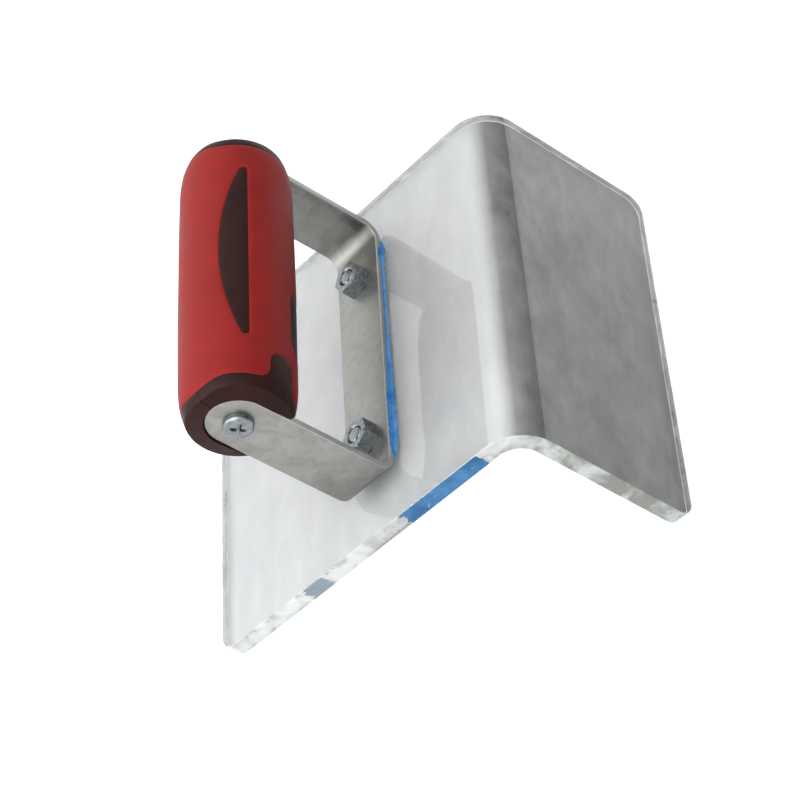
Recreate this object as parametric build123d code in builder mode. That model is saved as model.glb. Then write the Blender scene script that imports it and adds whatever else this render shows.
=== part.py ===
"""Corner trowel: a thick clear plastic blade bent to a right angle, a steel strap
bracket bolted to its longer wing, and a soft-grip handle held between the bracket's arms.

Frame: the trowel stands on the outer edges of its two wings, like a tent. +Z is up, the
bend runs along Y, the long wing falls towards -X and the short one towards +X. The origin
is the centre of the footprint. All sizes are in millimetres.
"""
from build123d import *
from math import atan2, cos, degrees, pi, sin
import os

# Blade: the wings are measured from the sharp outer corner that the bend rounds off.
blade_length = 152.4
long_wing = 152.4
short_wing = 80.0
blade_thickness = 6.35
inner_bend_radius = 8.4
corner_radius = 7.0

# Protective film: one sheet still on the working faces, and torn remnants elsewhere.
film_thickness = 0.1
film_margin = 0.3
film_hole_gap = 0.3

# Bracket: one flat strap bent to a U, its base lying along the bend.
bracket_from_corner = 68.0
strap_width = 22.0
strap_thickness = 2.5
strap_bend_radius = 5.0
bracket_length = 117.6
screw_above_wing = 57.5

# Bracket fixings: flat-head machine screws with hex nuts.
bracket_screw_inset = 21.3
bracket_screw_radius = 3.175
bracket_screw_head_radius = 6.4
bracket_hole_gap = 0.2
nut_across_flats = 11.1
nut_height = 5.6
nut_turns = (12.0, 33.0)
nut_corner_chamfer = 0.55

# Handle: hard core with end caps, soft grip moulded round it.
cap_overhang = 1.45
handle_middle_radius = 20.0
handle_shoulder_radius = 19.7
handle_end_radius = 15.4
handle_end_rounding = 17.0
core_radius = 15.8
cap_length = 6.25
arm_recess_gap = 0.3

# Inlays of the core that show through the grip.
side_inlay_length = 79.0
side_inlay_offset = 2.0
side_inlay_middle_width = 10.0
side_inlay_end_width = 2.4
side_inlay_angle = 139.0
side_inlay_corner = 1.1
thumb_tab_width = 12.0
thumb_tab_reach = 12.0
thumb_tab_corner = 4.5
thumb_tab_angle = 190.0
finger_inlay_length = 27.0
finger_inlay_width = 36.8
finger_inlay_offset = -20.5
finger_inlay_corner = 5.0

# Handle screws: pan heads, cutting their own thread in the core.
handle_screw_radius = 2.45
handle_screw_head_radius = 5.3
handle_screw_head_height = 3.2
handle_screw_length = 20.0
handle_hole_gap = 0.25
cross_recess_width = 1.3
cross_recess_span = 6.0
cross_recess_depth = 1.8
cross_recess_taper = 10.0
thread_gap = 0.05

# Film remnants: spans down the near end of the long wing, and the torn tongues beside the
# bracket, each as where it starts and stops in half-lengths of the base, and its reach.
large_remnant_span = (19.5, 57.5)
small_remnant_span = (97.0, 109.0)
edge_remnant_margin = 0.15
edge_remnant_rag = 2.2
strip_tongues = ((-1.0, -0.62, 2.0), (-0.62, 0.04, 1.3), (0.04, 0.78, 0.7), (0.83, 0.91, 1.6))

# Lean of the wings that puts both outer edges on the floor.
lean = atan2(short_wing - blade_thickness, long_wing - blade_thickness)
down_long = Vector(-cos(lean), 0, -sin(lean))
down_short = Vector(sin(lean), 0, -cos(lean))
out_long = -down_short
out_short = -down_long

# The sharp outer corner of the blade, with the footprint's centre at the origin.
corner = Vector(
    (long_wing * cos(lean) - short_wing * sin(lean)) / 2,
    0,
    long_wing * sin(lean) + blade_thickness * cos(lean),
)

# On the long wing's outer face: x runs uphill to the corner, y along the bend, z outwards.
wing_plane = Plane(origin=corner, x_dir=-down_long, z_dir=out_long)
base_height = film_thickness
base_top = base_height + strap_thickness
strap_top = base_height + screw_above_wing
arm_outside = bracket_length / 2
arm_inside = arm_outside - strap_thickness


def on_wing(u, y, h):
    """The point u from the corner down the long wing, at y, and h off its outer face."""
    return wing_plane.from_local_coords(Vector(-u, y, h))


handle_centre = on_wing(bracket_from_corner, 0, strap_top)
handle_axis = Axis(handle_centre, (0, 1, 0))
bracket_screw_reach = bracket_length / 2 - bracket_screw_inset
bracket_screw_places = (-bracket_screw_reach, bracket_screw_reach)


def section_point(along_long, along_short):
    """A point of the blade's section in X and Z, counted from the sharp outer corner."""
    point = corner + down_long * along_long + down_short * along_short
    return (point.X, point.Z)


def bent_sheet(outer_offset, thickness, margin):
    """A sheet bent over the corner, outer_offset under the blade's outer face."""
    inner_offset = outer_offset + thickness
    long_end = long_wing - margin
    short_end = short_wing - margin
    half_width = blade_length / 2 - margin
    outer_radius = inner_bend_radius + blade_thickness - outer_offset
    rounding = corner_radius - margin
    with BuildPart() as sheet:
        with BuildSketch(Plane.XZ):
            with BuildLine():
                outside = FilletPolyline(
                    section_point(long_end, outer_offset),
                    section_point(outer_offset, outer_offset),
                    section_point(outer_offset, short_end),
                    radius=outer_radius,
                )
                inside = FilletPolyline(
                    section_point(long_end, inner_offset),
                    section_point(inner_offset, inner_offset),
                    section_point(inner_offset, short_end),
                    radius=outer_radius - thickness,
                )
                Line(outside @ 0, inside @ 0)
                Line(outside @ 1, inside @ 1)
            make_face()
        extrude(amount=half_width, both=True)
        for downhill, outwards, end in (
            (down_long, out_long, long_end),
            (down_short, out_short, short_end),
        ):
            wing_edge = Plane(origin=corner + downhill * end, x_dir=downhill, z_dir=outwards)
            with BuildSketch(wing_edge):
                Rectangle(2 * rounding, 2 * half_width + rounding)
                with Locations((-2 * rounding, 0)):
                    RectangleRounded(
                        4 * rounding, 2 * half_width, rounding, mode=Mode.SUBTRACT
                    )
            extrude(amount=2 * blade_thickness, both=True, mode=Mode.SUBTRACT)
    return sheet.part


# Blade: clear plastic plate, bent hot, with countersunk holes from the working side.
with BuildPart() as blade:
    add(bent_sheet(0, blade_thickness, 0))
    for place in bracket_screw_places:
        head_face = Plane(
            origin=on_wing(bracket_from_corner, place, -blade_thickness), z_dir=-out_long
        )
        with Locations(head_face):
            CounterSinkHole(
                radius=bracket_screw_radius + bracket_hole_gap,
                counter_sink_radius=bracket_screw_head_radius,
                depth=blade_thickness,
            )
blade.part.label = "blade"

# Film on the working faces, punched out round the screw heads.
with BuildPart() as working_film:
    add(bent_sheet(blade_thickness, film_thickness, film_margin))
    for place in bracket_screw_places:
        head_face = Plane(
            origin=on_wing(bracket_from_corner, place, -blade_thickness - film_thickness),
            z_dir=-out_long,
        )
        with Locations(head_face):
            Hole(bracket_screw_head_radius + film_hole_gap, depth=3 * film_thickness)
working_film.part.label = "working_film"

# Film trapped under the bracket, torn off along its uphill edge.
half_base = bracket_length / 2 - strap_bend_radius - strap_thickness
with BuildPart() as bracket_film:
    with BuildSketch(wing_plane):
        with Locations((-bracket_from_corner, 0)):
            Rectangle(strap_width, 2 * half_base)
        edge_x = -bracket_from_corner + strap_width / 2
        for start_share, stop_share, reach in strip_tongues:
            start = start_share * half_base
            stop = stop_share * half_base
            with BuildLine():
                Polyline(
                    (edge_x - 1, start),
                    (edge_x, start),
                    (edge_x + reach * 0.8, start + 1.5),
                    (edge_x + reach, (start + stop) / 2),
                    (edge_x + reach * 0.6, stop - 1.2),
                    (edge_x, stop),
                    (edge_x - 1, stop),
                    close=True,
                )
            make_face()
        with Locations([(-bracket_from_corner, place) for place in bracket_screw_places]):
            Circle(bracket_screw_radius + bracket_hole_gap, mode=Mode.SUBTRACT)
    extrude(amount=film_thickness)
bracket_film.part.label = "bracket_film"

# Film remnants on the near end face, where x runs downhill and y into the thickness.
near_face = Plane(origin=corner - Vector(0, blade_length / 2, 0), x_dir=down_long, z_dir=(0, -1, 0))


def edge_remnant(start, stop):
    """A torn patch of film over the blade's thickness, ragged at both ends."""
    outer = edge_remnant_margin
    inner = blade_thickness - edge_remnant_margin
    with BuildPart() as remnant:
        with BuildSketch(near_face):
            with BuildLine():
                Polyline(
                    (start, outer),
                    (stop, outer),
                    (stop - edge_remnant_rag, blade_thickness / 3),
                    (stop + edge_remnant_rag / 2, blade_thickness / 2),
                    (stop - edge_remnant_rag / 2, inner),
                    (start + edge_remnant_rag / 2, inner),
                    (start - edge_remnant_rag / 2, blade_thickness / 2),
                    (start + edge_remnant_rag / 3, blade_thickness / 3),
                    close=True,
                )
            make_face()
        extrude(amount=film_thickness)
    return remnant


edge_film_large = edge_remnant(*large_remnant_span)
edge_film_large.part.label = "edge_film_large"
edge_film_small = edge_remnant(*small_remnant_span)
edge_film_small.part.label = "edge_film_small"

# Bracket: the strap's U seen along its width, then its arm ends rounded.
bracket_side = Plane(
    origin=on_wing(bracket_from_corner, 0, base_height), x_dir=(0, 1, 0), z_dir=-down_long
)
arm_height = screw_above_wing + strap_width / 2
with BuildPart() as handle_bracket:
    with BuildSketch(bracket_side) as outside:
        with Locations((0, arm_height / 2)):
            Rectangle(bracket_length, arm_height)
        fillet(outside.vertices().group_by(Axis.Y)[0], strap_bend_radius + strap_thickness)
    extrude(amount=strap_width / 2, both=True)
    with BuildSketch(bracket_side) as inside:
        with Locations((0, strap_thickness + arm_height / 2)):
            Rectangle(2 * arm_inside, arm_height)
        fillet(inside.vertices().group_by(Axis.Y)[0], strap_bend_radius)
    extrude(amount=strap_width / 2, both=True, mode=Mode.SUBTRACT)
    with BuildSketch(Plane(origin=handle_centre, x_dir=-down_long, z_dir=(0, -1, 0))):
        Circle(strap_width / 2)
        with Locations((0, -arm_height)):
            Rectangle(strap_width, 2 * arm_height)
    extrude(amount=bracket_length, both=True, mode=Mode.INTERSECT)
    with BuildSketch(Plane(origin=handle_centre, z_dir=(0, 1, 0))):
        Circle(handle_screw_radius + handle_hole_gap)
    extrude(amount=bracket_length, both=True, mode=Mode.SUBTRACT)
    with BuildSketch(wing_plane):
        with Locations([(-bracket_from_corner, place) for place in bracket_screw_places]):
            Circle(bracket_screw_radius + bracket_hole_gap)
    extrude(amount=2 * base_top, mode=Mode.SUBTRACT)
handle_bracket.part.label = "handle_bracket"


def bracket_screw(place):
    """A flat-head screw, from flush with the working face to flush with the nut's top."""
    foot = on_wing(bracket_from_corner, place, -blade_thickness)
    length = blade_thickness + base_top + nut_height
    taper = bracket_screw_head_radius - bracket_screw_radius
    with BuildPart() as screw:
        with BuildSketch(Plane(origin=foot, x_dir=-down_long, z_dir=(0, -1, 0))):
            with BuildLine():
                Polyline(
                    (0, 0),
                    (bracket_screw_head_radius - thread_gap, 0),
                    (bracket_screw_radius, taper - thread_gap),
                    (bracket_screw_radius, length - nut_corner_chamfer),
                    (bracket_screw_radius - nut_corner_chamfer, length),
                    (0, length),
                    close=True,
                )
            make_face()
        revolve(axis=Axis(foot, out_long))
    return screw


def bracket_nut(place, turn):
    """A hex nut with both faces chamfered, standing on the bracket's base."""
    foot = on_wing(bracket_from_corner, place, base_top)
    nut_plane = Plane(origin=foot, x_dir=-down_long, z_dir=out_long)
    corner_reach = nut_across_flats / 2 / cos(pi / 6)
    with BuildPart() as nut:
        with BuildSketch(nut_plane):
            RegularPolygon(nut_across_flats / 2, 6, major_radius=False, rotation=turn)
            Circle(bracket_screw_radius + thread_gap, mode=Mode.SUBTRACT)
        extrude(amount=nut_height)
        rim = corner_reach - nut_corner_chamfer
        with BuildSketch(Plane(origin=foot, x_dir=-down_long, z_dir=(0, -1, 0))):
            with BuildLine():
                Polyline(
                    (0, 0),
                    (rim, 0),
                    (corner_reach, nut_corner_chamfer / 2),
                    (corner_reach, nut_height - nut_corner_chamfer / 2),
                    (rim, nut_height),
                    (0, nut_height),
                    close=True,
                )
            make_face()
        revolve(axis=Axis(foot, out_long), mode=Mode.INTERSECT)
    return nut


# Handle envelope: a slightly barrelled bar, its ends drawn in along an ellipse.
half_handle = arm_outside + cap_overhang
half_grip = half_handle - cap_length
barrel_end = half_handle - handle_end_rounding
with BuildPart() as handle_envelope:
    with BuildSketch(Plane(origin=handle_centre, x_dir=(0, 1, 0), z_dir=(1, 0, 0))):
        with BuildLine() as outline:
            ThreePointArc(
                (-barrel_end, handle_shoulder_radius),
                (0, handle_middle_radius),
                (barrel_end, handle_shoulder_radius),
            )
            EllipticalCenterArc(
                (barrel_end, handle_end_radius),
                handle_end_rounding,
                handle_shoulder_radius - handle_end_radius,
                start_angle=0,
                arc_size=90,
            )
            EllipticalCenterArc(
                (-barrel_end, handle_end_radius),
                handle_end_rounding,
                handle_shoulder_radius - handle_end_radius,
                start_angle=90,
                arc_size=90,
            )
            Polyline(
                (half_handle, handle_end_radius),
                (half_handle, 0),
                (-half_handle, 0),
                (-half_handle, handle_end_radius),
            )
        make_face()
    revolve(axis=handle_axis)


def inlay_plane(angle, offset):
    """A plane through the handle's axis, facing outwards at this angle from downhill."""
    outwards = down_long * cos(angle * pi / 180) + out_long * sin(angle * pi / 180)
    centre = handle_centre + Vector(0, offset, 0)
    return Plane(origin=centre, x_dir=(0, 1, 0), z_dir=outwards)


def side_inlay(angle, bulge_side):
    """A long D: straight on one side, bowed on the other."""
    straight = -bulge_side * side_inlay_middle_width / 2
    bowed_end = straight + bulge_side * side_inlay_end_width
    half = side_inlay_length / 2
    with BuildPart() as inlay:
        with BuildSketch(inlay_plane(angle, side_inlay_offset)) as outline:
            with BuildLine():
                ThreePointArc(
                    (-half, bowed_end), (0, -straight), (half, bowed_end)
                )
                Polyline(
                    (half, bowed_end), (half, straight), (-half, straight), (-half, bowed_end)
                )
            make_face()
            fillet(outline.vertices(), side_inlay_corner)
        extrude(amount=2 * handle_middle_radius)
    return inlay.part


def thumb_tab(angle, end):
    """A rounded tab that runs from an end cap up the side of the grip."""
    reach = thumb_tab_reach + half_handle - half_grip
    with BuildPart() as tab:
        with BuildSketch(inlay_plane(angle, end * (half_handle - reach / 2))) as outline:
            Rectangle(reach, thumb_tab_width)
            inner = outline.vertices().filter_by(
                lambda vertex: abs(vertex.Y) < half_handle - 1
            )
            fillet(inner, thumb_tab_corner)
        extrude(amount=2 * handle_middle_radius)
    return tab.part


def finger_inlay():
    """A broad pad under the fingers, on the side that faces the blade."""
    with BuildPart() as pad:
        with BuildSketch(inlay_plane(-90, finger_inlay_offset)):
            RectangleRounded(finger_inlay_length, finger_inlay_width, finger_inlay_corner)
        extrude(amount=2 * handle_middle_radius)
    return pad.part


# All inlays as one set of cutters, kept apart from each other.
with BuildPart() as inlays:
    add(side_inlay(side_inlay_angle, -1))
    add(side_inlay(180 - side_inlay_angle, 1))
    add(finger_inlay())
    add(thumb_tab(thumb_tab_angle, -1))
    add(thumb_tab(180 - thumb_tab_angle, 1))

# Soft grip: the envelope outside the core's body, with windows for the inlays.
grip_start = Plane(origin=handle_centre - Vector(0, half_grip, 0), z_dir=(0, 1, 0))
with BuildPart() as soft_grip:
    with BuildSketch(grip_start):
        Circle(2 * handle_middle_radius)
        Circle(core_radius, mode=Mode.SUBTRACT)
    extrude(amount=2 * half_grip)
    add(handle_envelope.part, mode=Mode.INTERSECT)
    add(inlays.part, mode=Mode.SUBTRACT)
soft_grip.part.label = "soft_grip"

# Core: body, end caps and inlays in one moulding, recessed for the bracket's arms.
with BuildPart() as handle_core:
    add(handle_envelope.part)
    add(soft_grip.part, mode=Mode.SUBTRACT)
    for end in (-1, 1):
        recess_floor = Plane(
            origin=handle_centre + Vector(0, end * arm_inside, 0),
            x_dir=-down_long,
            z_dir=(0, end, 0),
        )
        recess_width = strap_width + 2 * arm_recess_gap
        down_arm = recess_floor.to_local_coords(handle_centre - out_long * arm_height).Y
        with BuildSketch(recess_floor):
            Circle(recess_width / 2)
            with Locations((0, down_arm / 2)):
                Rectangle(recess_width, arm_height)
        extrude(amount=half_handle, mode=Mode.SUBTRACT)
        with BuildSketch(recess_floor):
            Circle(handle_screw_radius + thread_gap)
        extrude(amount=-(handle_screw_length - strap_thickness), mode=Mode.SUBTRACT)
handle_core.part.label = "handle_core"


def handle_screw(end):
    """A pan-head screw through a bracket arm, with a cross recess in its domed head."""
    seat = handle_centre + Vector(0, end * arm_outside, 0)
    head_plane = Plane(origin=seat, x_dir=-down_long, z_dir=(0, end, 0))
    side_plane = Plane(origin=seat, x_dir=out_long, z_dir=down_long * end)
    rim = handle_screw_head_height * 0.55
    with BuildPart() as screw:
        with BuildSketch(side_plane):
            with BuildLine():
                Polyline(
                    (0, handle_screw_head_height),
                    (0, -handle_screw_length),
                    (handle_screw_radius, -handle_screw_length + handle_screw_radius),
                    (handle_screw_radius, 0),
                    (handle_screw_head_radius, 0),
                    (handle_screw_head_radius, rim),
                )
                RadiusArc(
                    (handle_screw_head_radius, rim),
                    (0, handle_screw_head_height),
                    -handle_screw_head_radius * 2.2,
                )
            make_face()
        revolve(axis=Axis(seat, (0, end, 0)))
        with BuildSketch(head_plane.offset(handle_screw_head_height)):
            Rectangle(cross_recess_span, cross_recess_width)
            Rectangle(cross_recess_width, cross_recess_span)
        extrude(amount=-cross_recess_depth, taper=cross_recess_taper, mode=Mode.SUBTRACT)
    return screw


bracket_screw_near = bracket_screw(bracket_screw_places[0])
bracket_screw_near.part.label = "bracket_screw_near"
bracket_screw_far = bracket_screw(bracket_screw_places[1])
bracket_screw_far.part.label = "bracket_screw_far"
bracket_nut_near = bracket_nut(bracket_screw_places[0], nut_turns[0])
bracket_nut_near.part.label = "bracket_nut_near"
bracket_nut_far = bracket_nut(bracket_screw_places[1], nut_turns[1])
bracket_nut_far.part.label = "bracket_nut_far"
handle_screw_near = handle_screw(-1)
handle_screw_near.part.label = "handle_screw_near"
handle_screw_far = handle_screw(1)
handle_screw_far.part.label = "handle_screw_far"

os.makedirs("parts", exist_ok=True)
export_step(blade.part, "parts/blade.step")
export_step(working_film.part, "parts/working_film.step")
export_step(bracket_film.part, "parts/bracket_film.step")
export_step(edge_film_large.part, "parts/edge_film_large.step")
export_step(edge_film_small.part, "parts/edge_film_small.step")
export_step(handle_bracket.part, "parts/handle_bracket.step")
export_step(bracket_screw_near.part, "parts/bracket_screw_near.step")
export_step(bracket_screw_far.part, "parts/bracket_screw_far.step")
export_step(bracket_nut_near.part, "parts/bracket_nut_near.step")
export_step(bracket_nut_far.part, "parts/bracket_nut_far.step")
export_step(handle_core.part, "parts/handle_core.step")
export_step(soft_grip.part, "parts/soft_grip.step")
export_step(handle_screw_near.part, "parts/handle_screw_near.step")
export_step(handle_screw_far.part, "parts/handle_screw_far.step")
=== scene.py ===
"""Corner trowel: a bent clear plastic blade, a steel strap bracket and a soft-grip handle.

Everything is in metres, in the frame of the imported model. The trowel stands on the outer
edges of its two wings, the bend along Y, the long wing falling towards -X.
"""
from math import atan2, cos, exp, hypot, pi, radians, sin, sqrt

import bmesh
import bpy
from mathutils import Matrix, Vector


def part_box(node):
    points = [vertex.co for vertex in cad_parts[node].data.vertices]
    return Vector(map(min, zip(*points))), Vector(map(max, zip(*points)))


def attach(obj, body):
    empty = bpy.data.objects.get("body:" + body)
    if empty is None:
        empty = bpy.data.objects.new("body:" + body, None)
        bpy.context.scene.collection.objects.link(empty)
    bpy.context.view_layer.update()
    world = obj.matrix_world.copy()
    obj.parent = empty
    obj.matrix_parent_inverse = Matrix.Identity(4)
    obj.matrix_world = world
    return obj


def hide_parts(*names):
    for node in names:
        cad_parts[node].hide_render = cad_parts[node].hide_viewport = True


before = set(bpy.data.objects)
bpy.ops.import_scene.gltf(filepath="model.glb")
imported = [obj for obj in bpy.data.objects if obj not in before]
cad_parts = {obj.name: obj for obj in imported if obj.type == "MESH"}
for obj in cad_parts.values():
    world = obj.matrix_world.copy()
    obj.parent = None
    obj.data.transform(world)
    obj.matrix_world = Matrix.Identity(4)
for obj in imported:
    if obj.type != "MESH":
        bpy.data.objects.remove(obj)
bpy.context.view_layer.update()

# --- The blade's place -------------------------------------------------------------------
# Both wings stand on the floor on their outer edges, so the blade's box and its three
# sizes give the lean of the wings and the sharp outer corner that the bend rounds off.
MM = 0.001
BLADE_LOW, BLADE_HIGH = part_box("blade")
LONG_WING = 152.4 * MM
SHORT_WING = 80.0 * MM
BLADE_THICKNESS = 6.35 * MM
LEAN = atan2(SHORT_WING - BLADE_THICKNESS, LONG_WING - BLADE_THICKNESS)
DOWN_LONG = Vector((-cos(LEAN), 0, -sin(LEAN)))
DOWN_SHORT = Vector((sin(LEAN), 0, -cos(LEAN)))
OUT_LONG = -DOWN_SHORT
CORNER = Vector((
    BLADE_LOW.x + LONG_WING * cos(LEAN),
    (BLADE_LOW.y + BLADE_HIGH.y) / 2,
    BLADE_LOW.z + LONG_WING * sin(LEAN) + BLADE_THICKNESS * cos(LEAN),
))
ALONG = Vector((0, 1, 0))


def on_wing(downhill, along, above):
    """The point this far down the long wing from the corner, along the bend, and above it."""
    return CORNER + DOWN_LONG * downhill + ALONG * along + OUT_LONG * above


# --- Floor, light and camera --------------------------------------------------------------
# A softly lit white table under a bright soft dome, with one large lamp on the long wing's
# side, so the long wing is lit and the short wing is in its own shade.
FLOOR_SIZE = 6.0
FLOOR_COLOUR = "808080"
FLOOR_GLOW = 0.92
DOME_COLOUR = "FFFFFF"
DOME_BRIGHT_SIDE = Vector((-0.55, -0.25, 0.80))
DOME_DARK_AT = -0.6
DOME_BRIGHT_AT = 0.9
DOME_DARKEST = 0.12
DOME_BRIGHTEST = 2.25
KEY_PLACE = Vector((-1.25, -1.25, 2.55))
KEY_AIM = Vector((-0.02, 0, 0.06))
KEY_SIZE = 5.0
KEY_POWER = 182.0
CAMERA_AIM = Vector((-2.31, -15.13, 36.45)) * MM
CAMERA_DISTANCE = 853.9 * MM
CAMERA_HEADING = radians(-21.21)
CAMERA_DIP = radians(44.40)
CAMERA_ROLL = radians(-32.96)
CAMERA_LENS = 110.58
CAMERA_SENSOR = 36.0


def colour(hex_value, alpha=1.0):
    """An sRGB hex value as a linear colour."""
    channels = [int(hex_value[i:i + 2], 16) / 255 for i in (0, 2, 4)]
    linear = [c / 12.92 if c <= 0.04045 else ((c + 0.055) / 1.055) ** 2.4 for c in channels]
    return (*linear, alpha)


def add_node(tree, kind, settings=None, **inputs):
    """Adds a node. Settings are its properties; inputs are values, or sockets to link from."""
    node = tree.nodes.new(kind)
    for name, value in (settings or {}).items():
        setattr(node, name, value)
    for name, value in inputs.items():
        key = int(name[1:]) if name[0] == "_" and name[1:].isdigit() else name.replace("_", " ")
        socket = node.inputs[key]
        if isinstance(value, bpy.types.NodeSocket):
            tree.links.new(value, socket)
        else:
            socket.default_value = value
    return node


def new_material(name, **shader_values):
    """A material with a Principled shader whose constants stand on its own sockets."""
    material = bpy.data.materials.new(name)
    material.use_nodes = True
    shader = material.node_tree.nodes["Principled BSDF"]
    for key, value in shader_values.items():
        shader.inputs[key.replace("_", " ")].default_value = value
    return material, material.node_tree, shader


def object_position(tree, scale=(1, 1, 1), turn=(0, 0, 0)):
    """The object coordinates, turned and stretched by a Mapping node."""
    place = add_node(tree, "ShaderNodeTexCoord").outputs["Object"]
    mapping = add_node(tree, "ShaderNodeMapping", Vector=place, Rotation=turn, Scale=scale)
    return mapping.outputs["Vector"]


def noise(tree, position, size, detail=3.0, roughness=0.5, distortion=0.0):
    """Noise whose patches are about this size in metres, from 0 to 1."""
    made = add_node(
        tree, "ShaderNodeTexNoise", Vector=position, Scale=1 / size, Detail=detail,
        Roughness=roughness, Distortion=distortion,
    )
    return made.outputs["Fac"]


def spread(tree, value, low, high, to_low, to_high):
    """Takes a value's span to another span, clamped."""
    made = add_node(
        tree, "ShaderNodeMapRange", Value=value, From_Min=low, From_Max=high,
        To_Min=to_low, To_Max=to_high,
    )
    return made.outputs["Result"]


def tint(tree, amount, first, second, blend="MIX"):
    """Goes from the first colour to the second as the amount goes from 0 to 1."""
    made = add_node(
        tree, "ShaderNodeMix", {"data_type": "RGBA", "blend_type": blend},
        Factor=amount, _6=first, _7=second,
    )
    return made.outputs[2]


def bump(tree, height, strength, distance, below=None):
    """A bump from a height, on top of another bump where one is given."""
    made = add_node(tree, "ShaderNodeBump", Height=height, Strength=strength, Distance=distance)
    if below is not None:
        tree.links.new(below, made.inputs["Normal"])
    return made.outputs["Normal"]


floor_mesh = bpy.data.meshes.new("floor")
half_floor = FLOOR_SIZE / 2
floor_mesh.from_pydata(
    [(-half_floor, -half_floor, 0), (half_floor, -half_floor, 0),
     (half_floor, half_floor, 0), (-half_floor, half_floor, 0)], [], [(0, 1, 2, 3)],
)
floor = bpy.data.objects.new("floor", floor_mesh)
bpy.context.collection.objects.link(floor)
floor_material = new_material(
    "lit_white_table", Base_Color=colour(FLOOR_COLOUR), Roughness=0.9,
    Emission_Color=colour(DOME_COLOUR), Emission_Strength=FLOOR_GLOW,
)[0]
floor_mesh.materials.append(floor_material)

world = bpy.data.worlds.new("soft_dome")
world.use_nodes = True
bpy.context.scene.world = world
dome = world.node_tree.nodes["Background"]
dome.inputs["Color"].default_value = colour(DOME_COLOUR)
sky = add_node(world.node_tree, "ShaderNodeTexCoord").outputs["Generated"]
towards_bright = add_node(
    world.node_tree, "ShaderNodeVectorMath", {"operation": "DOT_PRODUCT"},
    _0=sky, _1=DOME_BRIGHT_SIDE.normalized(),
)
dome_strength = spread(
    world.node_tree, towards_bright.outputs["Value"], DOME_DARK_AT, DOME_BRIGHT_AT,
    DOME_DARKEST, DOME_BRIGHTEST,
)
world.node_tree.links.new(dome_strength, dome.inputs["Strength"])

key_data = bpy.data.lights.new("key_lamp", "AREA")
key_data.size = KEY_SIZE
key_data.energy = KEY_POWER
key_lamp = bpy.data.objects.new("key_lamp", key_data)
key_lamp.location = KEY_PLACE
key_lamp.rotation_euler = (KEY_AIM - KEY_PLACE).to_track_quat("-Z", "Y").to_euler()
bpy.context.collection.objects.link(key_lamp)

view_line = Vector((
    sin(CAMERA_HEADING) * cos(CAMERA_DIP),
    cos(CAMERA_HEADING) * cos(CAMERA_DIP),
    -sin(CAMERA_DIP),
))
camera_data = bpy.data.cameras.new("camera")
camera_data.lens = CAMERA_LENS
camera_data.sensor_width = CAMERA_SENSOR
camera = bpy.data.objects.new("camera", camera_data)
camera.location = CAMERA_AIM - view_line * CAMERA_DISTANCE
upright = view_line.to_track_quat("-Z", "Y").to_matrix()
camera.rotation_euler = (upright @ Matrix.Rotation(CAMERA_ROLL, 3, "Z")).to_euler()
bpy.context.collection.objects.link(camera)
bpy.context.scene.camera = camera
bpy.context.scene.view_settings.view_transform = "Standard"

# --- Blade --------------------------------------------------------------------------------
# One quarter inch clear plastic sheet, sawn to size with its corners rounded, then bent hot
# over a round bar. The faces are polished and the sawn edges are left a little cloudy.
BLADE_LENGTH = BLADE_HIGH.y - BLADE_LOW.y
INNER_BEND = 8.4 * MM
CORNER_ROUNDING = 7.0 * MM
SAWN_ARRIS = 0.25 * MM
ARC_STEPS = 24
ARRIS_STEPS = 4
LEAST_HALF_WIDTH = 0.02 * MM
SHEET_SPLIT = 35
EDGE_SHADE_START = 4.5 * MM
EDGE_SHADE_WIDTH = 1.0 * MM


def finish_mesh(name, made, split_angle):
    """Turns the faces outwards, shades them smooth but for real edges, and links the piece."""
    bmesh.ops.recalc_face_normals(made, faces=made.faces)
    for face in made.faces:
        face.smooth = True
    mesh = bpy.data.meshes.new(name)
    made.to_mesh(mesh)
    made.free()
    mesh.set_sharp_from_angle(angle=radians(split_angle))
    piece = bpy.data.objects.new(name, mesh)
    bpy.context.collection.objects.link(piece)
    return piece


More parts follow.
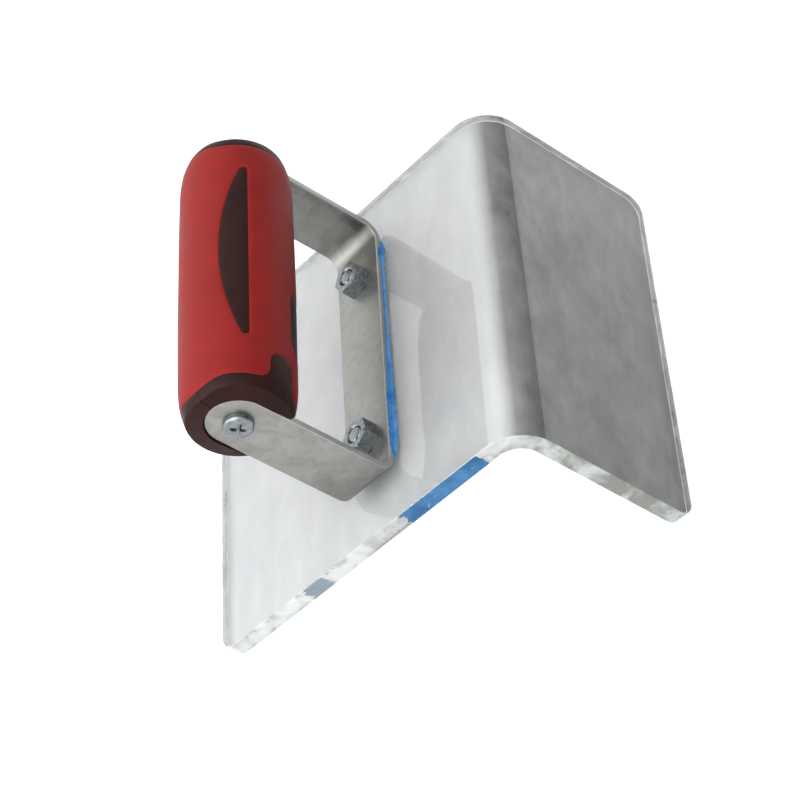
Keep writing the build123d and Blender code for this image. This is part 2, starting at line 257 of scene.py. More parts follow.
def bent_sheet(name, runs, inner_radius, thickness, half_width, rounding, arris, place):
    """A sheet whose outer face follows straight runs with a quarter bend between each two.

    place(forward, inward, across) puts a point of the section in the world. The section
    starts at the origin, heads forward, and every bend turns towards the inward side.
    The plan's corners are rounded and every edge has a small arris.
    """
    outer_radius = inner_radius + thickness
    length = sum(runs) + (len(runs) - 1) * outer_radius * pi / 2
    stations = [arris * (1 - cos(pi / 2 * i / ARRIS_STEPS)) for i in range(ARRIS_STEPS + 1)]
    stations += [
        rounding * (1 - cos(pi / 2 * i / ARC_STEPS)) for i in range(1, ARC_STEPS + 1)
    ]
    stations += [length - station for station in stations]
    reached = 0
    for run in runs[:-1]:
        reached += run
        stations += [
            reached + outer_radius * pi / 2 * i / ARC_STEPS for i in range(ARC_STEPS + 1)
        ]
        reached += outer_radius * pi / 2
    stations = sorted(set(round(station, 8) for station in stations))

    def at(station, depth):
        """The section's point at this length along the outer face and this depth."""
        x, y, heading = 0.0, 0.0, 0.0
        left = station
        for i, run in enumerate(runs):
            step = min(left, run)
            x += cos(heading) * step
            y += sin(heading) * step
            left -= step
            if left <= 0 or i == len(runs) - 1:
                break
            turn = min(left / outer_radius, pi / 2)
            centre = (x - sin(heading) * outer_radius, y + cos(heading) * outer_radius)
            heading += turn
            x = centre[0] + sin(heading) * outer_radius
            y = centre[1] - cos(heading) * outer_radius
            left -= turn * outer_radius
            if left <= 1e-12:
                break
        return x - sin(heading) * depth, y + cos(heading) * depth

    made = bmesh.new()
    sawn = made.faces.layers.float.new("sawn")
    loops = []
    for station in stations:
        from_end = min(station, length - station)
        width = half_width
        if from_end < rounding:
            width -= rounding - sqrt(max(0.0, rounding ** 2 - (rounding - from_end) ** 2))
        width = max(width, LEAST_HALF_WIDTH)
        inset = 0.0
        if from_end < arris:
            inset = arris - sqrt(max(0.0, arris ** 2 - (arris - from_end) ** 2))
        corner = min(arris, width, thickness / 2 - inset)
        loop = []
        for turn in range(4):
            side = 1 if turn in (0, 3) else -1
            deep = 1 if turn in (0, 1) else -1
            for i in range(ARRIS_STEPS + 1):
                angle = pi / 2 * (turn + i / ARRIS_STEPS)
                across = side * (width - corner) + corner * cos(angle)
                depth = (
                    thickness / 2 + deep * (thickness / 2 - inset - corner)
                    + corner * sin(angle)
                )
                loop.append(made.verts.new(place(*at(station, depth), across)))
        loops.append(loop)
    count = len(loops[0])
    flats = {ARRIS_STEPS, 3 * ARRIS_STEPS + 2}
    for station, before, after in zip(stations, loops, loops[1:]):
        near_end = min(station, length - station) < arris * 0.99
        for i in range(count):
            j = (i + 1) % count
            face = made.faces.new((before[i], before[j], after[j], after[i]))
            face[sawn] = 0.0 if i in flats and not near_end else 1.0
    for cap in (loops[0], list(reversed(loops[-1]))):
        face = made.faces.new(cap)
        face[sawn] = 1.0
    return finish_mesh(name, made, SHEET_SPLIT)


def in_blade(forward, inward, across):
    """From the blade's section, which starts at the long wing's outer edge, to the world."""
    return CORNER + DOWN_LONG * (LONG_WING - forward) + DOWN_SHORT * inward + ALONG * across


outer_bend = INNER_BEND + BLADE_THICKNESS
blade_runs = (LONG_WING - outer_bend, SHORT_WING - outer_bend)
blade = bent_sheet(
    "clear_blade", blade_runs, INNER_BEND, BLADE_THICKNESS, BLADE_LENGTH / 2,
    CORNER_ROUNDING, SAWN_ARRIS, in_blade,
)

# Cast acrylic: clear and nearly colourless, its faces polished, with faint rubs along the
# bend and slow waves left by the heat of bending.
clear_acrylic, tree, shader = new_material(
    "clear_cast_acrylic", Base_Color=colour("FBFDFC"), IOR=1.49, Transmission_Weight=1.0,
)
rubs = noise(tree, object_position(tree, scale=(1, 0.12, 1)), 5 * MM, detail=5.0, roughness=0.65)
tree.links.new(spread(tree, rubs, 0.45, 0.75, 0.015, 0.10), shader.inputs["Roughness"])
waves = noise(tree, object_position(tree), 14 * MM, detail=1.0)
tree.links.new(bump(tree, waves, 0.05, 0.6 * MM), shader.inputs["Normal"])


def distance_along(tree, direction):
    """How far the surface lies from the origin in this direction, in metres."""
    made = add_node(
        tree, "ShaderNodeVectorMath", {"operation": "DOT_PRODUCT"},
        _0=object_position(tree), _1=direction,
    )
    return made.outputs["Value"]


# The same acrylic where it was sawn: it scatters white, with cutter marks about 0.8 mm apart
# and clearer patches where the saw ran smoothly. Past the bend it is painted darker and greener:
# painted shade.
sawn_acrylic, tree, shader = new_material(
    "sawn_acrylic_edge", IOR=1.49, Transmission_Weight=0.55, Roughness=0.45,
)
patches = noise(tree, object_position(tree), 10 * MM, detail=3.0, roughness=0.55, distortion=0.5)
cutter_marks = noise(tree, object_position(tree), 0.8 * MM, detail=2.0)
lit_edge_tone = tint(tree, spread(tree, patches, 0.38, 0.60, 0, 1), colour("A0A3A0"), colour("D0D4D3"))
painted_shade_edge_tone = tint(tree, spread(tree, patches, 0.46, 0.62, 0, 1), colour("8C8E87"), colour("D0D9D6"))
# Past the bend the edge takes a shaded copy of its colours: painted shade for the short wing.
bend_middle = CORNER.dot(DOWN_SHORT) + EDGE_SHADE_START
painted_edge_shade = spread(
    tree, distance_along(tree, DOWN_SHORT), bend_middle, bend_middle + EDGE_SHADE_WIDTH, 0, 1,
)
tree.links.new(tint(tree, painted_edge_shade, lit_edge_tone, painted_shade_edge_tone), shader.inputs["Base Color"])
tree.links.new(spread(tree, patches, 0.38, 0.60, 0.22, 0.5), shader.inputs["Roughness"])
tree.links.new(bump(tree, cutter_marks, 0.25, 0.12 * MM), shader.inputs["Normal"])
blade.data.materials.append(clear_acrylic)
blade.data.materials.append(sawn_acrylic)
for face, mark in zip(blade.data.polygons, blade.data.attributes["sawn"].data):
    face.material_index = int(mark.value > 0.5)
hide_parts("blade")
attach(blade, "root")

# --- Working film -------------------------------------------------------------------------
# The silver-white masking film that the sheet was sold with, still stuck to its inner faces
# and bent with it. It is what shows through the clear plastic, and it scatters most light.
FILM = 0.1 * MM
FILM_MARGIN = 0.3 * MM
FILM_BITE = 0.03 * MM
FILM_ARRIS = 0.02 * MM
film_half = BLADE_LENGTH / 2 - FILM_MARGIN


def in_film(forward, inward, across):
    """From the film's section to the world. Its stuck face is just inside the plastic's."""
    return in_blade(FILM_MARGIN + forward, BLADE_THICKNESS - FILM_BITE + inward, across)


film_bend = INNER_BEND + FILM_BITE
working_film = bent_sheet(
    "masking_film", (
        LONG_WING - BLADE_THICKNESS + FILM_BITE - film_bend - FILM_MARGIN,
        SHORT_WING - BLADE_THICKNESS + FILM_BITE - film_bend - FILM_MARGIN,
    ), film_bend - FILM - FILM_BITE / 2, FILM + FILM_BITE / 2, film_half,
    CORNER_ROUNDING - FILM_MARGIN, FILM_ARRIS, in_film,
)

# Polyethylene film, silver-white: satin, cloudy from handling, with long streaks along the
# bend. Past the bend it is painted a darker, mottled grey: painted shade for the short wing.
FILM_SHADE_START = 3.0 * MM
FILM_SHADE_WIDTH = 6.0 * MM
silver_film, tree, shader = new_material(
    "silver_white_film", Roughness=0.42, IOR=1.5, Metallic=0.15,
)
streaks = noise(tree, object_position(tree, scale=(1, 0.10, 1)), 7 * MM, detail=4.0)
clouds = noise(tree, object_position(tree), 26 * MM, detail=4.0, roughness=0.6, distortion=0.6)
grain = noise(tree, object_position(tree), 2.2 * MM, detail=3.0)
tone = tint(
    tree, spread(tree, clouds, 0.36, 0.66, 0, 1), colour("F6F8FC"), colour("FCFDFF"),
)
tone = tint(tree, spread(tree, streaks, 0.40, 0.70, 0, 0.6), tone, colour("EDEFF5"))
tone = tint(tree, spread(tree, grain, 0.45, 0.70, 0, 0.25), tone, colour("F1F1F4"))
# The short wing faces away from the lamp, so its film is painted darker: painted shade.
bend_start = CORNER.dot(DOWN_SHORT) + FILM_SHADE_START
painted_film_shade = spread(
    tree, distance_along(tree, DOWN_SHORT), bend_start, bend_start + FILM_SHADE_WIDTH, 0, 1,
)
scuffs = noise(tree, object_position(tree, scale=(1, 0.5, 1)), 11 * MM, detail=6.0, roughness=0.68)
painted_shade_film_tone = tint(tree, spread(tree, scuffs, 0.36, 0.66, 0, 1), colour("59595A"), colour("838382"))
painted_shade_film_tone = tint(tree, spread(tree, streaks, 0.42, 0.66, 0, 0.5), painted_shade_film_tone, colour("6E6D6B"))
tone = tint(tree, painted_film_shade, tone, painted_shade_film_tone)
tree.links.new(tone, shader.inputs["Base Color"])
tree.links.new(bump(tree, clouds, 0.2, 0.4 * MM), shader.inputs["Normal"])
working_film.data.materials.append(silver_film)
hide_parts("working_film")
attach(working_film, "root")

# --- Bracket ------------------------------------------------------------------------------
# One steel strap, sheared, round-ended and bent to a U, then zinc plated. Its base is bolted
# flat on the long wing and its arms hold the handle's ends.
STRAP_FROM_CORNER = 68.0 * MM
STRAP_WIDTH = 22.0 * MM
STRAP_THICKNESS = 2.5 * MM
STRAP_BEND = 5.0 * MM
STRAP_ARRIS = 0.35 * MM
BRACKET_LENGTH = 117.6 * MM
AXIS_ABOVE_BASE = 57.5 * MM
AXIS_ABOVE_WING = AXIS_ABOVE_BASE + FILM
arm_top = AXIS_ABOVE_WING + STRAP_WIDTH / 2
strap_outer_bend = STRAP_BEND + STRAP_THICKNESS


def in_bracket(forward, inward, across):
    """From the strap's section, which starts at the near arm's top, to the world."""
    return on_wing(
        STRAP_FROM_CORNER + across, inward - BRACKET_LENGTH / 2, arm_top - forward,
    )


arm_run = arm_top - FILM - strap_outer_bend
bracket = bent_sheet(
    "strap_bracket", (arm_run, BRACKET_LENGTH - 2 * strap_outer_bend, arm_run), STRAP_BEND,
    STRAP_THICKNESS, STRAP_WIDTH / 2, STRAP_WIDTH / 2, STRAP_ARRIS, in_bracket,
)

# Zinc-plated cold-rolled strap: satin, slightly warm grey, cloudy, with fine rolling lines
# along the strap and a few darker handling marks. The sheared edges are duller.
zinc_strap, tree, shader = new_material("zinc_plated_strap", Metallic=1.0)
is_edge = add_node(tree, "ShaderNodeAttribute", {"attribute_name": "sawn"}).outputs["Fac"]
bloom = noise(tree, object_position(tree), 6 * MM, detail=5.0, roughness=0.62, distortion=0.8)
lines = noise(tree, object_position(tree, scale=(1, 0.08, 0.35)), 0.9 * MM, detail=2.0)
marks = noise(tree, object_position(tree), 17 * MM, detail=6.0, roughness=0.7)
tone = tint(tree, spread(tree, bloom, 0.35, 0.65, 0, 1), colour("7D7E7B"), colour("91918D"))
tone = tint(tree, spread(tree, marks, 0.56, 0.72, 0, 0.55), tone, colour("636461"))
tone = tint(tree, spread(tree, is_edge, 0, 1, 0, 0.7), tone, colour("AAACA9"))
tree.links.new(tone, shader.inputs["Base Color"])
satin = spread(tree, bloom, 0.3, 0.7, 0.34, 0.52)
tree.links.new(satin, shader.inputs["Roughness"])
rolled = bump(tree, lines, 0.12, 0.05 * MM)
tree.links.new(bump(tree, bloom, 0.10, 0.15 * MM, below=rolled), shader.inputs["Normal"])
bracket.data.materials.append(zinc_strap)
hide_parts("handle_bracket")
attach(bracket, "root")

# --- Base fixings -------------------------------------------------------------------------
# Two flat-head machine screws pushed up through the blade, each with a hex nut on the base.
# A nut is forged, chamfered at both faces and threaded; a screw's thread ends flush with it.
BASE_SCREW_SPACING = 75.0 * MM
BASE_SCREW_RADIUS = 3.175 * MM
BASE_HEAD_RADIUS = 6.3 * MM
NUT_FLATS = 11.1 * MM
NUT_HEIGHT = 5.6 * MM
NUT_TURN = radians(12.0)
NUT_TURN_STEP = radians(21.0)
NUT_CHAMFER = 0.55 * MM
NUT_SHOULDER = 0.18 * MM
NUT_BORE_GAP = 0.06 * MM
NUT_MOUTH = 0.5 * MM
NUT_MOUTH_LOW = 0.3 * MM
NUT_MOUTH_HIGH = 0.4 * MM
NUT_ROUND_WITHIN = 1.2 * BASE_SCREW_RADIUS
NUT_STEPS = 144
THREAD_PITCH = 1.0 * MM
THREAD_DEPTH = 0.35 * MM
THREAD_ROOT_SHARE = 0.12
THREAD_CREST_SHARE = 0.5
THREAD_START = 0.5 * MM
THREAD_STOP = 0.6 * MM
SCREW_TIP = ((0.25 * MM, 0.45 * MM), (0.65 * MM, 0.06 * MM), (0.85 * MM, 0.0))
HEAD_TAPER = 3.2 * MM
HEAD_RIM = 0.12 * MM
HOLE_GAP = 0.2 * MM
HOLE_OVERRUN = 0.5 * MM
TURN_STEPS = 72
MERGE_DISTANCE = 1e-7
NO_TURN = Vector((0, 0, 0))


def revolved(profile, steps=TURN_STEPS, radius_at=None):
    """A closed mesh turned about Z from (radius, height) points that start and end on Z."""
    made = bmesh.new()
    rings = []
    for radius, height in profile:
        if radius < 1e-9:
            rings.append([made.verts.new((0, 0, height))])
            continue
        ring = []
        for i in range(steps):
            angle = 2 * pi * i / steps
            reach = radius if radius_at is None else radius_at(radius, height, angle)
            ring.append(made.verts.new((reach * cos(angle), reach * sin(angle), height)))
        rings.append(ring)
    for low, high in zip(rings, rings[1:]):
        for i in range(steps):
            j = (i + 1) % steps
            corners = [low[i % len(low)], low[j % len(low)], high[j % len(high)],
                       high[i % len(high)]]
            made.faces.new(list(dict.fromkeys(corners)))
    bmesh.ops.recalc_face_normals(made, faces=made.faces)
    for face in made.faces:
        face.smooth = True
    return made


def placed_pair(name, shape, material, start, step, first_turn, turn_step, spin=0.0):
    """Two copies of a mesh, laid out by a Geometry Nodes tree and made one plain mesh.

    start is the first copy's place, step leads to the second, and the turns are Euler
    angles: first_turn for the first copy, and turn_step more for the second, which is also
    turned by spin about its own axis.
    """
    master = finish_mesh(name, shape, SHEET_SPLIT)
    tree = bpy.data.node_groups.new(name + "_pair", "GeometryNodeTree")
    tree.interface.new_socket("Geometry", in_out="INPUT", socket_type="NodeSocketGeometry")
    sockets = {}
    for label, value in (("Start", start), ("Step", step), ("First turn", first_turn),
                         ("Turn step", turn_step), ("Spin", Vector((0, 0, spin)))):
        made = tree.interface.new_socket(label, in_out="INPUT", socket_type="NodeSocketVector")
        sockets[made.identifier] = value
    tree.interface.new_socket("Geometry", in_out="OUTPUT", socket_type="NodeSocketGeometry")
    given = add_node(tree, "NodeGroupInput").outputs
    points = add_node(
        tree, "GeometryNodeMeshLine", {"mode": "OFFSET"}, Count=2,
        Start_Location=given["Start"], Offset=given["Step"],
    )
    index = add_node(tree, "GeometryNodeInputIndex").outputs[0]
    more = add_node(
        tree, "ShaderNodeVectorMath", {"operation": "SCALE"}, _0=given["Turn step"], Scale=index,
    )
    turn = add_node(
        tree, "ShaderNodeVectorMath", {"operation": "ADD"},
        _0=given["First turn"], _1=more.outputs[0],
    )
    copies = add_node(
        tree, "GeometryNodeInstanceOnPoints", Points=points.outputs["Mesh"],
        Instance=given["Geometry"], Rotation=turn.outputs[0],
    )
    own_turn = add_node(
        tree, "ShaderNodeVectorMath", {"operation": "SCALE"}, _0=given["Spin"], Scale=index,
    )
    spun = add_node(
        tree, "GeometryNodeRotateInstances", Instances=copies.outputs["Instances"],
        Rotation=own_turn.outputs[0], Local_Space=True,
    )
    solid = add_node(
        tree, "GeometryNodeRealizeInstances", Geometry=spun.outputs["Instances"],
    )
    finished = add_node(
        tree, "GeometryNodeSetMaterial", Geometry=solid.outputs["Geometry"], Material=material,
    )
    add_node(tree, "NodeGroupOutput", Geometry=finished.outputs["Geometry"])
    modifier = master.modifiers.new("pair", "NODES")
    modifier.node_group = tree
    for identifier, value in sockets.items():
        modifier[identifier] = value
    bpy.context.view_layer.update()
    evaluated = master.evaluated_get(bpy.context.evaluated_depsgraph_get())
    result = bpy.data.meshes.new_from_object(evaluated)
    pair = bpy.data.objects.new(name, result)
    bpy.context.collection.objects.link(pair)
    bpy.data.objects.remove(master)
    pair.name = name
    return pair


def thread_profile(radius, low, high, pitch, depth):
    """Points down a thread's flank from low to high, as rings a pitch apart."""
    turns = max(1, round((high - low) / pitch))
    points = []
    for i in range(turns):
        base = low + (high - low) * i / turns
        lead = (high - low) / turns
        points += [
            (radius - depth, base + THREAD_ROOT_SHARE * lead),
            (radius, base + THREAD_CREST_SHARE * lead),
        ]
    return points


# Zinc plate on machined steel: brighter than the strap, faintly blue, cloudy at a small
# scale, with darker patches of grime here and there.
bright_zinc, tree, shader = new_material("bright_zinc_plate", Metallic=1.0)
patina = noise(tree, object_position(tree), 1.6 * MM, detail=5.0, roughness=0.65)
grime = noise(tree, object_position(tree), 4.5 * MM, detail=3.0)
tone = tint(tree, spread(tree, patina, 0.35, 0.65, 0, 1), colour("6A7072"), colour("868D90"))
tone = tint(tree, spread(tree, grime, 0.50, 0.75, 0, 0.4), tone, colour("63665F"))
tree.links.new(tone, shader.inputs["Base Color"])
tree.links.new(spread(tree, patina, 0.3, 0.7, 0.22, 0.42), shader.inputs["Roughness"])
tree.links.new(bump(tree, patina, 0.12, 0.06 * MM), shader.inputs["Normal"])


def hexagon_reach(radius, height, angle):
    """Cuts a turned shape down to a hexagon, as a nut's flats cut its turned chamfers."""
    if radius <= NUT_ROUND_WITHIN:
        return radius
    from_flat = (angle + pi / 6) % (pi / 3) - pi / 6
    return min(radius, NUT_FLATS / 2 / cos(from_flat))


nut_corner = NUT_FLATS / 2 / cos(pi / 6)
nut_bore = BASE_SCREW_RADIUS + NUT_BORE_GAP
nut_profile = [
    (nut_bore, NUT_MOUTH_LOW), (nut_bore + NUT_MOUTH, 0),
    (nut_corner - NUT_CHAMFER, 0.0), (nut_corner - 0.2 * NUT_CHAMFER, NUT_SHOULDER),
    (nut_corner, NUT_CHAMFER * 0.6), (nut_corner, NUT_HEIGHT - NUT_CHAMFER * 0.6),
    (nut_corner - 0.2 * NUT_CHAMFER, NUT_HEIGHT - NUT_SHOULDER),
    (nut_corner - NUT_CHAMFER, NUT_HEIGHT), (nut_bore + NUT_MOUTH, NUT_HEIGHT),
    (nut_bore, NUT_HEIGHT - NUT_MOUTH_HIGH), (nut_bore, NUT_MOUTH_LOW),
]
nut_shape = revolved(nut_profile, steps=NUT_STEPS, radius_at=hexagon_reach)
bmesh.ops.remove_doubles(nut_shape, verts=nut_shape.verts, dist=MERGE_DISTANCE)
bmesh.ops.recalc_face_normals(nut_shape, faces=nut_shape.faces)
base_top = FILM + STRAP_THICKNESS
upright_turn = Vector((0, -LEAN, 0))
nut_foot = on_wing(STRAP_FROM_CORNER, -BASE_SCREW_SPACING / 2, base_top)
for vert in nut_shape.verts:
    vert.co = Matrix.Rotation(NUT_TURN, 3, "Z") @ vert.co
nuts = placed_pair(
    "hex_nuts", nut_shape, bright_zinc, nut_foot, ALONG * BASE_SCREW_SPACING,
    upright_turn, NO_TURN, spin=NUT_TURN_STEP,
)
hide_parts("bracket_nut_near", "bracket_nut_far")
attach(nuts, "root")

screw_length = BLADE_THICKNESS + base_top + NUT_HEIGHT
screw_profile = [
    (0, 0), (BASE_HEAD_RADIUS - HEAD_RIM, 0), (BASE_HEAD_RADIUS, HEAD_RIM),
    (BASE_SCREW_RADIUS, HEAD_TAPER),
]
screw_profile += thread_profile(
    BASE_SCREW_RADIUS, HEAD_TAPER + THREAD_START, screw_length - THREAD_STOP, THREAD_PITCH,
    THREAD_DEPTH,
)
screw_profile += [
    (BASE_SCREW_RADIUS - inset, screw_length - from_end) for inset, from_end in SCREW_TIP
]
screw_profile.append((0, screw_length))
screw_foot = on_wing(STRAP_FROM_CORNER, -BASE_SCREW_SPACING / 2, -BLADE_THICKNESS)
base_screws = placed_pair(
    "flat_head_screws", revolved(screw_profile), bright_zinc, screw_foot,
    ALONG * BASE_SCREW_SPACING, upright_turn, NO_TURN,
)
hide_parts("bracket_screw_near", "bracket_screw_far")
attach(base_screws, "root")


def cut_out(piece, cutter, split_angle):
    """Cuts the cutter's shape out of a piece for good, and marks its real edges again."""
    cut = piece.modifiers.new("cut", "BOOLEAN")
    cut.operation = "DIFFERENCE"
    cut.solver = "EXACT"
    cut.object = cutter
    bpy.context.view_layer.update()
    left = bpy.data.meshes.new_from_object(
        piece.evaluated_get(bpy.context.evaluated_depsgraph_get())
    )
    piece.modifiers.clear()
    piece.data = left
    left.set_sharp_from_angle(angle=radians(split_angle))


# Their countersunk holes, cut through the blade and through the film behind it.
hole_profile = [
    (0, -HOLE_OVERRUN), (BASE_HEAD_RADIUS + HOLE_GAP, -HOLE_OVERRUN),
    (BASE_HEAD_RADIUS + HOLE_GAP, HEAD_RIM), (BASE_SCREW_RADIUS + HOLE_GAP, HEAD_TAPER),
    (BASE_SCREW_RADIUS + HOLE_GAP, BLADE_THICKNESS + HOLE_OVERRUN),
    (0, BLADE_THICKNESS + HOLE_OVERRUN),
]
drill = placed_pair(
    "countersunk_drill", revolved(hole_profile), sawn_acrylic, screw_foot,
    ALONG * BASE_SCREW_SPACING, upright_turn, NO_TURN,
)
for sheet in (blade, working_film):
    cut_out(sheet, drill, SHEET_SPLIT)
bpy.data.objects.remove(drill)

# --- Handle: shape shared by its two mouldings ---------------------------------------------
# A hard core is moulded first, with its end caps, thumb tabs and inlays, then the soft grip is
# moulded round it, so that both meet flush at a small groove. Sizes here are in millimetres.
CAP_PAST_BRACKET = 1.45
HALF_HANDLE = BRACKET_LENGTH / 2 / MM + CAP_PAST_BRACKET
MIDDLE_RADIUS = 19.98
SHOULDER_RADIUS = 19.68
END_RADIUS = 15.38
END_DRAW = 17.0
CAP_CREASE = HALF_HANDLE - 2.35
CAP_LIP_RADIUS = 11.0
CORE_RADIUS = 15.8
CAP_EDGE = 53.7
CAP_DIP = 2.4
CAP_DIP_SPREAD = 45.0
CREASE_DIP = 1.5
CAP_FACE = 59.5
TAB_ANGLE = 191.5
TAB_HALF_WIDTH = 5.7
TAB_REACH = 11.8
TAB_CORNER = 4.2
TAB_BLEND = 5.0
INLAY_STRAIGHT_ANGLE = 153.5
INLAY_DEPTH = 10.3
INLAY_MIDDLE = 2.15
INLAY_HALF_LENGTH = 39.55
INLAY_BOW = 103.0
INLAY_CORNER = 1.4
PAD_MIDDLE = -20.5
PAD_HALF_LENGTH = 13.0
PAD_HALF_WIDTH = 22.6
PAD_CORNER = 5.0
PARTING_ANGLE = 96.0
PARTING_DEPTH = 0.22
PARTING_SPREAD = 0.55
PARTING_STEPS = (-0.9, -0.45, 0.45, 0.9)
COLUMNS = 240
ROW_PITCH = 0.55
STRAIGHT_PART = HALF_HANDLE - END_DRAW


def outline_radius(along):
    """The handle's radius at this place: a slight barrel, its ends drawn in on an ellipse."""
    reach = abs(along)
    if reach <= STRAIGHT_PART:
        bulge = 1 - (reach / STRAIGHT_PART) ** 2
        return SHOULDER_RADIUS + (MIDDLE_RADIUS - SHOULDER_RADIUS) * bulge
    drawn = min(1.0, (reach - STRAIGHT_PART) / END_DRAW)
    return END_RADIUS + (SHOULDER_RADIUS - END_RADIUS) * sqrt(1 - drawn ** 2)


def around(angle, middle):
    """The way round the handle's surface from one angle to another, the shorter way."""
    return radians((angle - middle + 180) % 360 - 180) * MIDDLE_RADIUS


def to_rounded_box(x, y, half_x, half_y, corner):
    """Distance to a rounded rectangle's outline, negative inside it."""
    over_x = abs(x) - half_x + corner
    over_y = abs(y) - half_y + corner
    outside = hypot(max(over_x, 0), max(over_y, 0))
    return outside + min(max(over_x, over_y), 0) - corner


def softer_least(a, b, blend):
    """The lesser of two distances, with a fillet where they meet."""
    overlap = max(blend - abs(a - b), 0) / blend
    return min(a, b) - overlap ** 2 * blend / 4


def to_side_inlay(along, arc):
    """Distance to the long D, arc being the way from its straight side to its bow."""
    x = along - INLAY_MIDDLE
    to_bow = hypot(x, arc - INLAY_DEPTH + INLAY_BOW) - INLAY_BOW
    ends = abs(x) - INLAY_HALF_LENGTH
    sharp = -softer_least(arc, -to_bow, INLAY_CORNER)
    return -softer_least(-sharp, -ends, INLAY_CORNER)


def cap_dip(angle):
    """How far the cap's edges draw back under the ball of the thumb, from 0 to 1."""
    from_top = (angle - 90 + 180) % 360 - 180
    if abs(from_top) > CAP_DIP_SPREAD:
        return 0.0
    return cos(pi / 2 * from_top / CAP_DIP_SPREAD) ** 2


def to_hard_plastic(along, angle):
    """Distance over the surface to where the hard core shows, negative on it."""
    cap = CAP_EDGE + CAP_DIP * cap_dip(angle) - abs(along)
    for end, tab_angle in ((-1, TAB_ANGLE), (1, 180 - TAB_ANGLE)):
        tab = to_rounded_box(
            end * along - CAP_EDGE, around(angle, tab_angle), TAB_REACH, TAB_HALF_WIDTH,
            TAB_CORNER,
        )
        cap = softer_least(cap, tab, TAB_BLEND)
    pad = to_rounded_box(
        along - PAD_MIDDLE, around(angle, 270), PAD_HALF_LENGTH, PAD_HALF_WIDTH, PAD_CORNER,
    )
    near_side = to_side_inlay(along, -around(angle, INLAY_STRAIGHT_ANGLE))
    far_side = to_side_inlay(along, around(angle, 180 - INLAY_STRAIGHT_ANGLE))
    return min(cap, pad, near_side, far_side)


def parting_groove(angle):
    """Depth of the line where the core's mould halves met."""
    return PARTING_DEPTH * exp(-((angle - PARTING_ANGLE) / PARTING_SPREAD) ** 2)


def on_handle(along, angle, radius):
    """A point of the handle, its angle counted from downhill towards the hand's side."""
    turn = radians(angle)
    return on_wing(
        STRAP_FROM_CORNER + radius * cos(turn) * MM, along * MM,
        AXIS_ABOVE_WING + radius * sin(turn) * MM,
    )


# The surface's grid, unrolled, then every cell that the outline of the hard plastic crosses
# is cut along it, so that both mouldings share one clean edge.
angles = sorted(
    [360 * i / COLUMNS for i in range(COLUMNS)]
    + [PARTING_ANGLE + step for step in PARTING_STEPS]
)
row_count = round(2 * CAP_CREASE / ROW_PITCH)
rows = [-CAP_CREASE + 2 * CAP_CREASE * i / row_count for i in range(row_count + 1)]
spots = [(along, angle) for along in rows for angle in angles]
levels = [to_hard_plastic(along, angle) for along, angle in spots]
hard_faces, soft_faces, cuts = [], [], {}


def cut_between(first, second):
    """The vertex where the outline crosses this edge of the grid."""
    key = (min(first, second), max(first, second))
    if key not in cuts:
        share = levels[first] / (levels[first] - levels[second])
        turn = (spots[second][1] - spots[first][1] + 180) % 360 - 180
        cuts[key] = len(spots)
        spots.append((
            spots[first][0] + (spots[second][0] - spots[first][0]) * share,
            (spots[first][1] + turn * share) % 360,
        ))
        levels.append(0.0)
    return cuts[key]


for row in range(row_count):
    for column in range(len(angles)):
        right = (column + 1) % len(angles)
        low, high = row * len(angles), (row + 1) * len(angles)
        cell = (low + column, high + column, high + right, low + right)
        kinds = {levels[corner] < 0 for corner in cell}
        if len(kinds) == 1:
            (hard_faces if kinds == {True} else soft_faces).append(cell)
            continue
        for triangle in ((cell[0], cell[1], cell[2]), (cell[0], cell[2], cell[3])):
            hard = [levels[corner] < 0 for corner in triangle]
            if len(set(hard)) == 1:
                (hard_faces if hard[0] else soft_faces).append(triangle)
                continue
            alone = hard.index(sum(hard) == 1)
            tip, second, third = (triangle[(alone + i) % 3] for i in range(3))
            after, before = cut_between(tip, second), cut_between(tip, third)
            tip_side, base_side = (
                (hard_faces, soft_faces) if hard[alone] else (soft_faces, hard_faces)
            )
            tip_side.append((tip, after, before))
            base_side.append((after, second, third))
            base_side.append((after, third, before))

# --- Handle core ----------------------------------------------------------------------------
# Hard dark plastic: bar, end caps with a crease round their ends, thumb tabs and inlays. Each
# end is recessed for the bracket's arm, open towards the blade.
CORE_SINK = 0.10
CORE_GROOVE = 0.16
CORE_GROOVE_SPREAD = 0.5
CORE_UNDER_GRIP = CORE_RADIUS - 0.2
CORE_SPLIT = 30
CREASE_LIP = 0.05
CONE_STEPS = ((0.0, 0.0), (0.06, 0.02), (0.12, 0.07), (0.25, 0.2), (0.6, 0.6), (1.0, 1.0))
RECESS_GAP = 0.3
RECESS_LIP = 0.3
RECESS_TAIL = 30.0

core_mesh = bmesh.new()
core_points = []
for (along, angle), level in zip(spots, levels):
    if level > 0:
        radius = CORE_UNDER_GRIP
    else:
        radius = outline_radius(along) - CORE_SINK
        radius -= CORE_GROOVE * exp(level / CORE_GROOVE_SPREAD)
        if abs(along) > CAP_EDGE:
            radius -= parting_groove(angle)
    core_points.append(core_mesh.verts.new(on_handle(along, angle, radius)))
for face in hard_faces + soft_faces:
    core_mesh.faces.new([core_points[corner] for corner in face])
# Each step beyond the crease is its share of the way to the cap's face and to its inner lip.
for end, first in ((-1, 0), (1, row_count * len(angles))):
    ring = core_points[first:first + len(angles)]
    for outward, inward in CONE_STEPS:
        outer = []
        for angle in angles:
            crease = CAP_CREASE + CREASE_LIP + CREASE_DIP * cap_dip(angle)
            radius = outline_radius(crease) - CORE_SINK
            radius += (CAP_LIP_RADIUS - radius) * inward
            along = crease + (CAP_FACE - crease) * outward - parting_groove(angle)
            outer.append(core_mesh.verts.new(on_handle(end * along, angle, radius)))
        for i in range(len(angles)):
            j = (i + 1) % len(angles)
            core_mesh.faces.new((ring[i], ring[j], outer[j], outer[i]))
        ring = outer
    core_mesh.faces.new(ring)
core = finish_mesh("hard_core", core_mesh, CORE_SPLIT)

